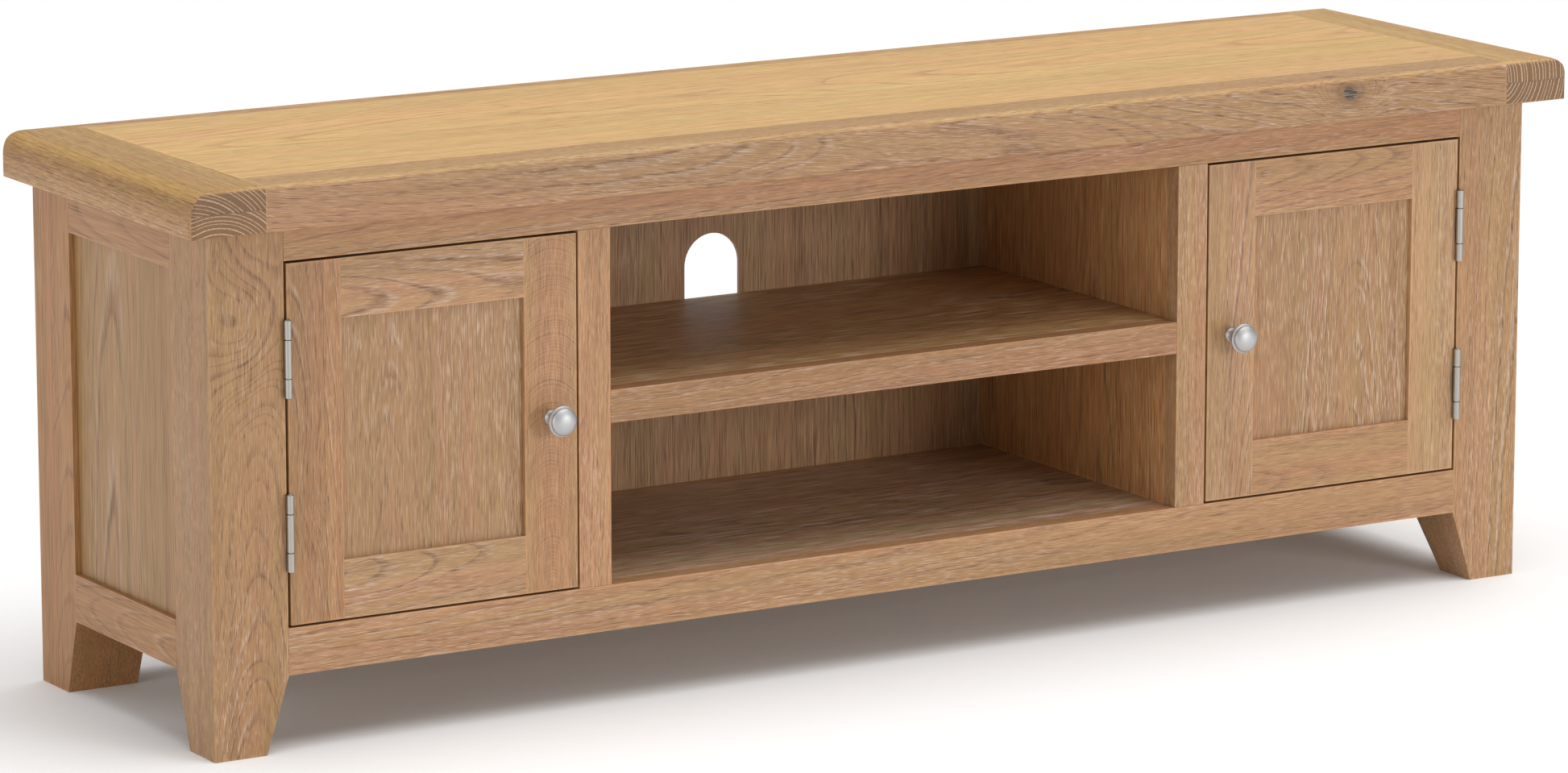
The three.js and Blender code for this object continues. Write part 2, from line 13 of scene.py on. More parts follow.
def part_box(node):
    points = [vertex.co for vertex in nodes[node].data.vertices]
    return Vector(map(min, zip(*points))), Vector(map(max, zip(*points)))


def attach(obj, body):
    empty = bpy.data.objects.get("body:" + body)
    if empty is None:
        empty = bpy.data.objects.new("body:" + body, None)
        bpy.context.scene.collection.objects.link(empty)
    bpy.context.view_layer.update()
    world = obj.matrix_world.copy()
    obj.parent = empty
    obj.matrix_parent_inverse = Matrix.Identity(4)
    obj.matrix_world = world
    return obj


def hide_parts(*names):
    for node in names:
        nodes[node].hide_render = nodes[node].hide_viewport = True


MM = 0.001
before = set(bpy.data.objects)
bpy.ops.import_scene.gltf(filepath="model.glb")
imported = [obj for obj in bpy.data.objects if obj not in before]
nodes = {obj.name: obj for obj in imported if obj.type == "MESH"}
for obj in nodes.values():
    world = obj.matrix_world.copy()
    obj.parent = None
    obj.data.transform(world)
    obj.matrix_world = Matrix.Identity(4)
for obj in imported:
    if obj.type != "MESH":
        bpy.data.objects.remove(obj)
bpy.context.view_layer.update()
scene = bpy.context.scene


def srgb(red, green, blue):
    """A linear colour from 0-255 display values."""

    def linear(value):
        value = value / 255
        return value / 12.92 if value <= 0.04045 else ((value + 0.055) / 1.055) ** 2.4

    return (linear(red), linear(green), linear(blue), 1.0)


# ---- node helpers ----------------------------------------------------------------------------


class Graph:
    """Short calls that add nodes to a tree and return their output sockets."""

    def __init__(self, tree):
        self.tree = tree

    def node(self, kind, **settings):
        made = self.tree.nodes.new(kind)
        for name, value in settings.items():
            setattr(made, name, value)
        return made

    def put(self, socket, value):
        if isinstance(value, bpy.types.NodeSocket):
            self.tree.links.new(value, socket)
        else:
            socket.default_value = value

    def math(self, operation, *values, clamp=False):
        made = self.node("ShaderNodeMath", operation=operation, use_clamp=clamp)
        for socket, value in zip(made.inputs, values):
            self.put(socket, value)
        return made.outputs[0]

    def vector(self, operation, *values):
        made = self.node("ShaderNodeVectorMath", operation=operation)
        for socket, value in zip(made.inputs, values):
            self.put(socket, value)
        scalar = operation in ("DOT_PRODUCT", "LENGTH", "DISTANCE")
        return made.outputs["Value" if scalar else "Vector"]

    def scaled(self, vector, factor):
        made = self.node("ShaderNodeVectorMath", operation="SCALE")
        self.put(made.inputs[0], vector)
        self.put(made.inputs["Scale"], factor)
        return made.outputs["Vector"]

    def split(self, vector):
        made = self.node("ShaderNodeSeparateXYZ")
        self.put(made.inputs[0], vector)
        return made.outputs

    def join(self, x, y, z):
        made = self.node("ShaderNodeCombineXYZ")
        for socket, value in zip(made.inputs, (x, y, z)):
            self.put(socket, value)
        return made.outputs[0]

    def noise(self, vector, per_metre, detail=1.0, roughness=0.5, colour=False):
        """Noise with its own frequency on each axis, in cycles per metre."""
        made = self.node("ShaderNodeTexNoise", noise_dimensions="3D")
        self.put(made.inputs["Vector"], self.vector("MULTIPLY", vector, per_metre))
        made.inputs["Scale"].default_value = 1.0
        made.inputs["Detail"].default_value = detail
        made.inputs["Roughness"].default_value = roughness
        return made.outputs["Color" if colour else "Fac"]

    def noise_line(self, value, scale, detail=0.0):
        made = self.node("ShaderNodeTexNoise", noise_dimensions="1D")
        self.put(made.inputs["W"], value)
        made.inputs["Scale"].default_value = scale
        made.inputs["Detail"].default_value = detail
        return made.outputs["Fac"]

    def random_of(self, value):
        made = self.node("ShaderNodeTexWhiteNoise", noise_dimensions="1D")
        self.put(made.inputs["W"], value)
        return made.outputs["Value"]

    def remap(self, value, low, high, to_low=0.0, to_high=1.0, smooth=True):
        kind = "SMOOTHSTEP" if smooth else "LINEAR"
        made = self.node("ShaderNodeMapRange", interpolation_type=kind)
        for socket, item in zip(made.inputs, (value, low, high, to_low, to_high)):
            self.put(socket, item)
        return made.outputs[0]

    def mix(self, factor, a, b, blend="MIX"):
        made = self.node("ShaderNodeMix", data_type="RGBA", blend_type=blend)
        self.put(made.inputs[0], factor)
        self.put(made.inputs[6], a)
        self.put(made.inputs[7], b)
        return made.outputs[2]

    def mix_value(self, factor, a, b):
        made = self.node("ShaderNodeMix", data_type="FLOAT")
        self.put(made.inputs[0], factor)
        self.put(made.inputs[2], a)
        self.put(made.inputs[3], b)
        return made.outputs[0]

    def group(self, tree, **inputs):
        made = self.node("ShaderNodeGroup", node_tree=tree)
        for name, value in inputs.items():
            self.put(made.inputs[name.replace("_", " ")], value)
        return made.outputs


def new_group(name, inputs, outputs):
    """An empty shader node group. Each socket is a (name, kind) pair."""
    kinds = {"vector": "NodeSocketVector", "colour": "NodeSocketColor", "value": "NodeSocketFloat"}
    tree = bpy.data.node_groups.new(name, "ShaderNodeTree")
    for label, kind in inputs:
        tree.interface.new_socket(label, in_out="INPUT", socket_type=kinds[kind])
    for label, kind in outputs:
        tree.interface.new_socket(label, in_out="OUTPUT", socket_type=kinds[kind])
    graph = Graph(tree)
    return graph, graph.node("NodeGroupInput").outputs, graph.node("NodeGroupOutput").inputs


def new_material(name):
    """An empty node material and the graph that fills it."""
    material = bpy.data.materials.new(name)
    material.use_nodes = True
    material.node_tree.nodes.clear()
    return material, Graph(material.node_tree)


def principled(g, colour, roughness):
    """The shader of a material, joined to its output."""
    shader = g.node("ShaderNodeBsdfPrincipled")
    g.put(shader.inputs["Base Color"], colour)
    g.put(shader.inputs["Roughness"], roughness)
    output = g.node("ShaderNodeOutputMaterial")
    g.put(output.inputs["Surface"], shader.outputs["BSDF"])
    return shader


def add_bump(g, shader, height, strength, depth_mm):
    bump = g.node("ShaderNodeBump")
    bump.inputs["Strength"].default_value = strength
    bump.inputs["Distance"].default_value = depth_mm * MM
    g.put(bump.inputs["Height"], height)
    g.put(shader.inputs["Normal"], bump.outputs["Normal"])


# ---- oak -------------------------------------------------------------------------------------

# Noise scales in cycles per metre: across the grain, into the face and along the grain.
SCALES = {
    "wave": (24, 24, 15), "sway": (8, 8, 2.0), "ragged": (500, 500, 60), "strand": (110, 110, 3.0),
    "fibre": (1200, 1200, 54), "streak": (980, 980, 60), "patch": (20, 20, 3.6),
    "broad": (26, 26, 1.3), "ruddy": (42, 42, 1.1), "end_pores": (900, 900, 60),
    "wear_and_highlight": (60, 60, 60), "knot_edge": (180, 180, 120),
}

# Shifts in grain space, in metres, that keep one noise from repeating another.
STREAK_SHIFT = (0.31, 0.17, 0.53)
RUDDY_SHIFT = (0.7, 0.2, 0.4)

# How far years differ in width, how slowly that changes, and how ragged a ring's line is.
YEAR_SPREAD = 1.8
YEAR_SPREAD_SCALE = 0.37
RING_RAGGEDNESS = 0.08

# One year runs from 0 to 1: the early wood ends at SPRING_END, and the next year's line fades in
# from RING_TURN.
SPRING_END = 0.38
RING_TURN = 0.92

# Where the mid wood lies between light and dark, and how much the strands change that.
BASE_SHADE = 0.30
STRAND_SHADE = 0.55

# How much of the wood's colour each layer hides at its strongest.
# The arris cover lightens the arrises with rubbed wear and a painted highlight.
WEAR_AND_HIGHLIGHT_COVER = 0.55
END_LIME_COVER = 0.62
HALO_COVER = 0.42
CORE_COVER = 0.85

# How far the rubbed colour reaches in from an arris: part rubbed wear, part painted highlight.
WEAR_AND_HIGHLIGHT_LEAST = 0.8 * MM
WEAR_AND_HIGHLIGHT_MOST = 4.2 * MM

# Lime strokes show where their noise is past LIME_LEVEL, a little earlier in the early wood.
LIME_LEVEL = 0.56
LIME_IN_SPRING = 0.06
LIME_SOFTNESS = 0.12

# A knot is long along the grain. Its core and its halo each fade between two distances from its
# centre, in radii, and its push on the grain dies away at PUSH_DECAY.
KNOT_STRETCH = (1.0, 1.0, 0.62)
CORE_FADE = (0.75, 1.2)
HALO_FADE = (0.9, 3.2)
PUSH_DECAY = 0.10

# Colours that multiply the wood, and the two of a knot's core.
GOLD_TINT = (0.97, 1.015, 0.935, 1)
RUDDY_TINT = (1.03, 0.98, 0.985, 1)
# The rubbed tint lightens the arrises: part rubbed wear, part a painted highlight where the eased
# arris catches the light.
RUBBED_AND_HIGHLIGHT_TINT = (1.10, 1.06, 1.0, 1)
SAWN_TINT = (0.64, 0.60, 0.58, 1)
HALO_TINT = (0.52, 0.46, 0.42, 1)
CORE_BLACK = (0.030, 0.018, 0.012, 1)
CORE_GREY = (0.30, 0.24, 0.20, 1)


def oak_group():
    """Limed oak in grain space, where the grain runs along Z and the pith is the Z axis.

    Grain carries the growth rings and Fibres the pores and streaks, which run straighter.
    """
    inputs = [
        ("Grain", "vector"), ("Fibres", "vector"), ("Ring", "value"), ("Sway", "value"),
        ("Wave", "value"), ("Squeeze", "value"), ("Line", "value"), ("Fibre", "value"),
        ("Pores", "value"), ("Lime", "value"), ("Rim", "value"), ("Lime Size", "vector"),
        ("Broad", "value"), ("Light", "colour"), ("Dark", "colour"), ("Lime Colour", "colour"),
        ("Wear", "value"), ("End", "value"), ("Core", "value"), ("Halo", "value"),
    ]
    outputs = [("Colour", "colour"), ("Roughness", "value"), ("Height", "value")]
    g, i, o = new_group("limed_oak", inputs, outputs)
    centred = (-0.5, -0.5, -0.5)

    # The grain wanders a little from side to side, and everything in the wood follows it.
    wave = g.vector("ADD", g.noise(i["Fibres"], SCALES["wave"], 1.0, 0.5, colour=True), centred)
    wave = g.scaled(g.vector("MULTIPLY", wave, (1, 1, 0)), i["Wave"])
    rings = g.vector("ADD", i["Grain"], wave)
    grain = g.vector("ADD", i["Fibres"], wave)
    grain = g.vector("MULTIPLY", grain, g.join(1.0, 1.0, i["Squeeze"]))

    # The growth rings: distorted cylinders round the pith, each year of its own width.
    sway = g.vector("ADD", g.noise(rings, SCALES["sway"], 1.5, 0.5, colour=True), centred)
    bent = g.vector("ADD", rings, g.scaled(sway, i["Sway"]))
    radius = g.vector("LENGTH", g.vector("MULTIPLY", bent, (1, 1, 0)))
    years = g.math("DIVIDE", radius, i["Ring"])
    years = g.math("MULTIPLY_ADD", g.noise_line(years, YEAR_SPREAD_SCALE, 1.0), YEAR_SPREAD,
                   years)
    ragged = g.noise(grain, SCALES["ragged"], 1.0)
    years = g.math("MULTIPLY_ADD", g.math("SUBTRACT", ragged, 0.5), RING_RAGGEDNESS, years)
    season = g.math("FRACT", years)
    year = g.random_of(g.math("FLOOR", years))
    spring = g.math("MAXIMUM", g.remap(season, 0.0, SPRING_END, 1, 0),
                    g.remap(season, RING_TURN, 1.0))

    # Fibres and pores are long and thin.
    strand = g.noise(grain, SCALES["strand"], 2.0, 0.6)
    fibre = g.noise(grain, SCALES["fibre"], 2.0, 0.65)
    streak = g.noise(g.vector("ADD", grain, STREAK_SHIFT), SCALES["streak"], 1.0)
    patch = g.noise(grain, SCALES["patch"], 1.5)
    broad = g.noise(grain, SCALES["broad"], 2.0, 0.6)
    ruddy = g.noise(g.vector("ADD", grain, RUDDY_SHIFT), SCALES["ruddy"], 1.5)
    dash = g.noise(grain, i["Lime Size"], 1.0, 0.4)
    threshold = g.math("MULTIPLY_ADD", spring, -LIME_IN_SPRING, LIME_LEVEL)
    pore = g.remap(dash, threshold, g.math("ADD", threshold, LIME_SOFTNESS))
    limed = g.math("MULTIPLY", pore, g.remap(patch, 0.34, 0.62, 0.4, 1.0))

    # Colour: early wood, strands, fibres and pores, darkest last.
    edge = g.math("MAXIMUM", g.remap(season, 0.0, 0.20, 1, 0), g.remap(season, RING_TURN, 1.0))
    ring_line = g.math("MULTIPLY_ADD", edge, 0.38, g.math("MULTIPLY", spring, 0.75))
    ring_line = g.math("MULTIPLY", ring_line, g.mix_value(year, 0.45, 1.1))
    ring_line = g.math("MULTIPLY", ring_line, g.remap(patch, 0.3, 0.7, 0.6, 1.1))
    shade = g.math("MULTIPLY_ADD", ring_line, i["Line"], BASE_SHADE)
    shade = g.math("MULTIPLY_ADD", g.math("SUBTRACT", fibre, 0.5), i["Fibre"], shade)
    shade = g.math("MULTIPLY_ADD", g.math("SUBTRACT", strand, 0.5), STRAND_SHADE, shade)
    shade = g.math("MULTIPLY_ADD", g.math("SUBTRACT", 0.5, dash), i["Lime"], shade)
    pitted = g.math("MULTIPLY", g.remap(streak, 0.54, 0.74), g.mix_value(spring, 0.6, 1.0))
    shade = g.math("MULTIPLY_ADD", pitted, i["Pores"], shade, clamp=True)
    colour = g.mix(shade, i["Light"], i["Dark"])
    tone = g.math("MULTIPLY_ADD", g.math("SUBTRACT", broad, 0.5), i["Broad"], 1.0)
    colour = g.mix(1.0, colour, g.join(tone, tone, tone), blend="MULTIPLY")
    tint = g.mix(g.remap(ruddy, 0.34, 0.66), GOLD_TINT, RUDDY_TINT)
    colour = g.mix(1.0, colour, tint, blend="MULTIPLY")
    # The arrises are painted lighter: partly rubbed wear, partly a painted highlight where the
    # eased arris catches the light.
    rubbed_and_highlight = g.mix(1.0, i["Light"], RUBBED_AND_HIGHLIGHT_TINT, blend="MULTIPLY")
    colour = g.mix(g.math("MULTIPLY", i["Wear"], WEAR_AND_HIGHLIGHT_COVER), colour, rubbed_and_highlight)
    beside = g.math("MULTIPLY", g.remap(season, 0.08, 0.18), g.remap(season, 0.22, 0.36, 1, 0))
    rim = g.math("MULTIPLY", g.math("MULTIPLY", beside, g.remap(patch, 0.46, 0.62)),
                 g.remap(ragged, 0.36, 0.60, 0.2, 1.0))
    white = g.math("MULTIPLY", limed, i["Lime"])
    white = g.math("MULTIPLY_ADD", rim, i["Rim"], white, clamp=True)
    colour = g.mix(white, colour, i["Lime Colour"])

    # End grain is darker, and the lime fills its rings of pores.
    dots = g.remap(g.noise(grain, SCALES["end_pores"], 1.0), 0.35, 0.6, 0.45, 1.0)
    arc = g.math("MULTIPLY", g.remap(spring, 0.22, 0.80), dots)
    sawn = g.mix(1.0, g.mix(0.55, i["Light"], i["Dark"]), SAWN_TINT, blend="MULTIPLY")
    sawn = g.mix(1.0, sawn, g.join(tone, tone, tone), blend="MULTIPLY")
    sawn = g.mix(g.math("MULTIPLY", arc, END_LIME_COVER), sawn, i["Lime Colour"])
    colour = g.mix(i["End"], colour, sawn)

    # Knots: a dark ragged core in a brown halo.
    brown = g.mix(1.0, i["Dark"], HALO_TINT, blend="MULTIPLY")
    colour = g.mix(g.math("MULTIPLY", i["Halo"], HALO_COVER), colour, brown)
    black = g.mix(g.remap(streak, 0.50, 0.62), CORE_BLACK, CORE_GREY)
    colour = g.mix(g.math("MULTIPLY", i["Core"], CORE_COVER), colour, black)

    # The lacquer is duller over the pores and rubbed smooth along the arrises.
    rough = g.math("MULTIPLY_ADD", pore, 0.12, 0.46)
    rough = g.math("MULTIPLY_ADD", g.math("SUBTRACT", fibre, 0.5), 0.20, rough)
    rough = g.math("MULTIPLY_ADD", i["Wear"], -0.07, rough)
    height = g.math("MULTIPLY_ADD", pore, -0.35, g.math("MULTIPLY", fibre, 0.6))
    height = g.math("MULTIPLY_ADD", pitted, -0.6, height)
    height = g.math("MULTIPLY_ADD", spring, -0.2, height)
    height = g.math("MULTIPLY_ADD", i["Core"], -1.0, height)

    g.put(o["Colour"], colour)
    g.put(o["Roughness"], rough)
    g.put(o["Height"], height)
    return g.tree


def wear_and_highlight_group():
    """How near a point is to an arris of its own piece: 1 on the arris, 0 a few millimetres in."""
    inputs = [("Object", "vector"), ("Low", "vector"), ("High", "vector")]
    g, i, o = new_group("arris_wear_and_highlight", inputs, [("Wear", "value")])
    gap = g.vector("MINIMUM", g.vector("SUBTRACT", i["Object"], i["Low"]),
                   g.vector("SUBTRACT", i["High"], i["Object"]))
    x, y, z = g.split(gap)
    second = g.math("MAXIMUM", g.math("MINIMUM", x, y),
                    g.math("MINIMUM", g.math("MAXIMUM", x, y), z))
    reach = g.remap(g.noise(i["Object"], SCALES["wear_and_highlight"], 2.0), 0.3, 0.7, WEAR_AND_HIGHLIGHT_LEAST, WEAR_AND_HIGHLIGHT_MOST)
    # This mask places both the rubbed wear and the painted highlight of the arrises.
    g.put(o["Wear"], g.remap(g.math("DIVIDE", second, reach), 0.0, 1.0, 1.0, 0.0))
    return g.tree


def knot_group():
    """A knot: pushes the grain round itself and darkens its core."""
    inputs = [("Grain", "vector"), ("Centre", "vector"), ("Radius", "value"), ("Push", "value")]
    g, i, o = new_group("knot", inputs, [("Grain", "vector"), ("Core", "value"), ("Halo", "value")])
    away = g.vector("SUBTRACT", i["Grain"], i["Centre"])
    squeezed = g.vector("MULTIPLY", away, KNOT_STRETCH)
    ratio = g.math("DIVIDE", g.vector("LENGTH", squeezed), i["Radius"])
    fade = g.math("EXPONENT", g.math("MULTIPLY", g.math("MULTIPLY", ratio, ratio), -PUSH_DECAY))
    push = g.math("MULTIPLY", fade, i["Push"])
    ragged = g.noise(i["Grain"], SCALES["knot_edge"], 2.0)
    ratio = g.math("MULTIPLY", ratio, g.remap(ragged, 0.2, 0.8, 0.75, 1.3, smooth=False))
    g.put(o["Grain"], g.vector("ADD", i["Grain"], g.join(0.0, push, 0.0)))
    g.put(o["Core"], g.remap(ratio, *CORE_FADE, 1.0, 0.0))
    g.put(o["Halo"], g.remap(ratio, *HALO_FADE, 1.0, 0.0))
    return g.tree


OAK = oak_group()
WEAR_AND_HIGHLIGHT = wear_and_highlight_group()
KNOT = knot_group()

LIME = srgb(220, 198, 180)

# light and dark: the two ends of the wood's colour. line, fibre, pores, lime, rim: strength of
# the ring lines, fibres, dark pores, lime strokes and limed ring edges. strokes: lime strokes
# per metre, across and along. broad: drift of tone. wave: waviness in mm. squeeze: under 1 for
# longer streaks.
LOOKS = {
    # The two top looks' colours show on upward faces only, where they stand for wood painted
    # lighter and more golden by light from above.
    "top": dict(light=srgb(232, 188, 126), dark=srgb(160, 114, 64), line=0.40, fibre=1.56,
                pores=0.39, lime=0.18, rim=0.10, strokes=(1250, 96), broad=0.10, wave=1,
                squeeze=0.7),
    "top_frame": dict(light=srgb(210, 165, 108), dark=srgb(132, 92, 54), line=0.40, fibre=1.35,
                      pores=0.42, lime=0.28, rim=0.20, strokes=(1190, 96), broad=0.16, wave=2,
                      squeeze=0.8),
    "front": dict(light=srgb(184, 141, 99), dark=srgb(112, 74, 46), line=0.40, fibre=1.20,
                  pores=0.41, lime=0.28, rim=0.28, strokes=(1190, 114), broad=0.14, wave=2,
                  squeeze=0.9),
    "rail": dict(light=srgb(184, 141, 99), dark=srgb(112, 74, 46), line=0.34, fibre=1.2,
                 pores=0.36, lime=0.28, rim=0.24, strokes=(1190, 102), broad=0.14, wave=2,
                 squeeze=0.7),
    "side": dict(light=srgb(184, 142, 100), dark=srgb(112, 76, 46), line=0.34, fibre=1.20,
                 pores=0.37, lime=0.23, rim=0.25, strokes=(1120, 84), broad=0.12, wave=1,
                 squeeze=0.35),
    "door": dict(light=srgb(186, 142, 100), dark=srgb(114, 76, 48), line=0.42, fibre=1.20,
                 pores=0.39, lime=0.23, rim=0.26, strokes=(1190, 102), broad=0.14, wave=2,
                 squeeze=0.8),
    "panel": dict(light=srgb(180, 137, 98), dark=srgb(110, 75, 48), line=0.30, fibre=1.08,
                  pores=0.37, lime=0.38, rim=0.34, strokes=(980, 67), broad=0.14, wave=5,
                  squeeze=0.85),
    "inside": dict(light=srgb(192, 149, 109), dark=srgb(96, 63, 37), line=0.38, fibre=1.55,
                   pores=0.43, lime=0.30, rim=0.15, strokes=(1250, 90), broad=0.18, wave=2,
                   squeeze=0.40),
    "shelf": dict(light=srgb(192, 149, 109), dark=srgb(96, 63, 37), line=0.42, fibre=1.68,
                  pores=0.57, lime=0.39, rim=0.20, strokes=(300, 44), broad=0.18, wave=2,
                  squeeze=0.60),
}

# Each oak piece: axes (across the face, into the face, along the grain), look, then in
# millimetres the pith from the piece's centre (across, into), then the grain's slope
# (across, into), ring width and sway.
PIECES = {
    "top_centre_board": ("yzx", "top", (20, -150), (0.004, 0.020), 3.4, 26),
    "top_front_rail": ("zyx", "top_frame", (4, 95), (-0.080, 0.030), 2.6, 16),
    "top_rear_rail": ("yzx", "top_frame", (8, -90), (0.004, 0.020), 2.8, 14),
    "top_end_board_left": ("xzy", "top_frame", (-10, -62), (0.006, 0.030), 3.8, 10),
    "top_end_board_right": ("xzy", "top_frame", (-52, 8), (0.004, -0.026), 4.2, 6),
    "post_front_left": ("xyz", "front", (6, 75), (0.010, 0.048), 1.7, 16),
    "post_front_right": ("xyz", "front", (60, 90), (0.006, 0.020), 3.0, 14),
    "post_rear_left": ("yxz", "side", (-20, 60), (0.006, 0.040), 3.4, 18),
    "post_rear_right": ("yxz", "side", (14, -64), (0.006, 0.030), 3.2, 16),
    "front_top_rail": ("zyx", "rail", (24, 70), (0.004, 0.016), 2.4, 10),
    "front_bottom_rail": ("zyx", "rail", (26, 70), (0.005, 0.014), 2.4, 10),
    "rear_top_rail": ("zyx", "inside", (3, -60), (0.004, 0.024), 3.0, 16),
    "rear_bottom_rail": ("zyx", "inside", (-3, -66), (0.005, 0.022), 3.0, 16),
    "side_top_rail_left": ("zxy", "side", (4, 70), (0.010, 0.030), 2.8, 14),
    "side_top_rail_right": ("zxy", "side", (4, -70), (0.010, 0.030), 2.8, 14),
    "side_bottom_rail_left": ("zxy", "side", (-4, 66), (0.010, 0.040), 2.8, 14),
    "side_bottom_rail_right": ("zxy", "side", (-4, -66), (0.010, 0.040), 2.8, 14),
    "side_panel_left": ("yxz", "side", (30, 120), (0.004, 0.012), 3.0, 16),
    "side_panel_right": ("yxz", "side", (-26, -120), (0.004, 0.012), 3.0, 16),
    "centre_stile_left": ("xyz", "front", (50, 60), (0.004, 0.020), 2.6, 10),
    "centre_stile_right": ("xyz", "front", (-55, 70), (0.004, 0.020), 2.6, 10),
    "divider_left": ("yxz", "inside", (40, -130), (0.004, 0.012), 3.0, 16),
    "divider_right": ("yxz", "inside", (-40, 130), (0.004, 0.012), 3.0, 16),
    "shelf": ("yzx", "shelf", (10, -110), (0.004, 0.014), 3.2, 16),
    "shelf_lip": ("zyx", "rail", (30, 70), (0.004, 0.012), 2.2, 8),
    "bottom_panel": ("yzx", "shelf", (-20, -120), (0.004, 0.014), 3.2, 16),
    "back_panel": ("xyz", "inside", (330, -240), (0.004, 0.010), 3.6, 10),
    "door_hinge_stile_left": ("xyz", "door", (-30, 60), (0.010, 0.060), 3.0, 18),
    "door_knob_stile_left": ("xyz", "door", (0, 64), (0.004, 0.330), 1.1, 4),
    "door_top_rail_left": ("zyx", "door", (-12, 70), (0.010, 0.036), 2.6, 12),
    "door_bottom_rail_left": ("zyx", "door", (14, 76), (0.010, 0.034), 2.4, 12),
    "door_panel_left": ("xyz", "panel", (-44, 60), (0.004, 0.040), 2.6, 16),
    "door_hinge_stile_right": ("xyz", "door", (90, 40), (0.004, 0.020), 3.0, 12),
    "door_knob_stile_right": ("xyz", "door", (40, 60), (0.006, 0.040), 2.4, 12),
    "door_top_rail_right": ("zyx", "door", (16, 80), (0.010, 0.024), 2.2, 10),
    "door_bottom_rail_right": ("zyx", "door", (-14, 80), (0.010, 0.022), 2.4, 12),
    "door_panel_right": ("xyz", "panel", (30, 66), (0.004, 0.040), 2.6, 18),
}

# The tone of each board against the others of its look.
TONES = {
    "top_centre_board": (1.0, 1.01, 0.97),
    "top_end_board_left": (0.97, 0.94, 0.77),
    "top_end_board_right": (0.97, 0.98, 0.88),
    "top_front_rail": (0.89, 0.88, 0.88),
    "post_front_left": (0.92, 0.92, 0.89),
    "front_top_rail": (0.96, 0.91, 0.87),
    "post_rear_left": (0.92, 0.79, 0.63),
    "post_rear_right": (0.97, 0.92, 0.88),
    "side_panel_left": (0.89, 0.88, 0.80),
    "side_bottom_rail_left": (0.91, 0.81, 0.69),
    "side_top_rail_left": (0.93, 0.89, 0.84),
    "door_hinge_stile_left": (0.87, 0.82, 0.77),
    "door_knob_stile_left": (1.0, 0.99, 0.97),
    "door_top_rail_left": (1.01, 1.04, 1.06),
    "door_bottom_rail_left": (1.01, 1.05, 1.09),
    "door_panel_left": (0.97, 0.99, 0.98),
    "centre_stile_left": (1.07, 1.06, 1.06),
    "shelf_lip": (0.83, 0.75, 0.69),
    "door_panel_right": (0.96, 0.97, 0.93),
    "door_hinge_stile_right": (1.1, 1.18, 1.24),
    "door_knob_stile_right": (0.98, 1.02, 1.05),
    "post_front_right": (0.99, 1.0, 0.98),
    "bottom_panel": (1.08, 1.26, 1.55),
    "shelf": (1.16, 1.2, 1.12),
    "divider_right": (1.25, 1.13, 0.88),
    "divider_left": (1.2, 1.1, 0.86),
    "back_panel": (1.0, 1.0, 0.93),
}

# Boards glued up from two: the joint's axis and place in mm, how far the grain jumps beyond it
# (across, into the face), and how light the board beyond it is.
JOINTS = {
    "top_end_board_left": [("z", 501, (31, -12), 0.90)],
    "top_end_board_right": [("z", 501, (46, 12), 1.06)],
    "post_rear_left": [("y", 159, (28, 9), 1.05)],
    "door_hinge_stile_left": [("x", -605, (-24, 17), 1.12)],
}


def grain_rows(axes, slope):
    """The rows that turn object space into grain space, with the grain's slope sheared in."""
    rows = [Vector([1.0 if letter == name else 0.0 for letter in "xyz"]) for name in axes]
    across, into, along = rows
    return across - slope[0] * along, into - slope[1] * along, along


# Knots, in millimetres: centre, radius, how far the grain is pushed round it, and how dark.
KNOTS = {
    "top_front_rail": [((489, -193, 507), 6, -20, 1.0), ((474, -186, 521), 3.5, -8, 0.8)],
    "post_rear_left": [((-717, 175, 443), 7, -14, 0.8), ((-717, 172, 316), 8, -16, 0.7)],
    "post_front_left": [
        ((-683, -160, 392), 13, -16, 0.0), ((-664, -163, 349), 1.1, 0, 1.0),
        ((-657, -163, 356), 0.9, 0, 0.8), ((-675, -163, 347), 0.8, 0, 0.9),
        ((-681, -163, 302), 1.0, 0, 0.9), ((-684, -163, 294), 0.9, 0, 0.8),
        ((-718, -148, 430), 1.2, 0, 0.9), ((-718, -160, 430), 0.9, 0, 0.8),
    ],
    "door_hinge_stile_left": [((-611, -160, 240), 9, -8, 0.0)],
    "door_hinge_stile_right": [((641, -162, 205), 5, 8, 0.35)],
}

# Each board starts at its own place along the grain, in metres, and so does the board beyond a
# glued joint.
FIRST_BOARD = 1.7
BOARD_STEP = 2.3
BEYOND_JOINT = 0.9

# The dark line of a glued joint: full up to the first distance, gone at the second.
GLUE_LINE = (0.1 * MM, 0.5 * MM)
GLUE_LINE_DARKNESS = 0.35

# How squarely a face has to look upwards to get the painted light from above, and along the grain
# to be end grain.
UPWARD_PAINTED_LIGHT = (0.30, 0.85)
END_GRAIN = (0.55, 0.85)

PLAIN_TONE = (1.0, 1.0, 1.0)
LACQUER = {"ior": 1.45, "coat": 0.06, "coat_roughness": 0.38}


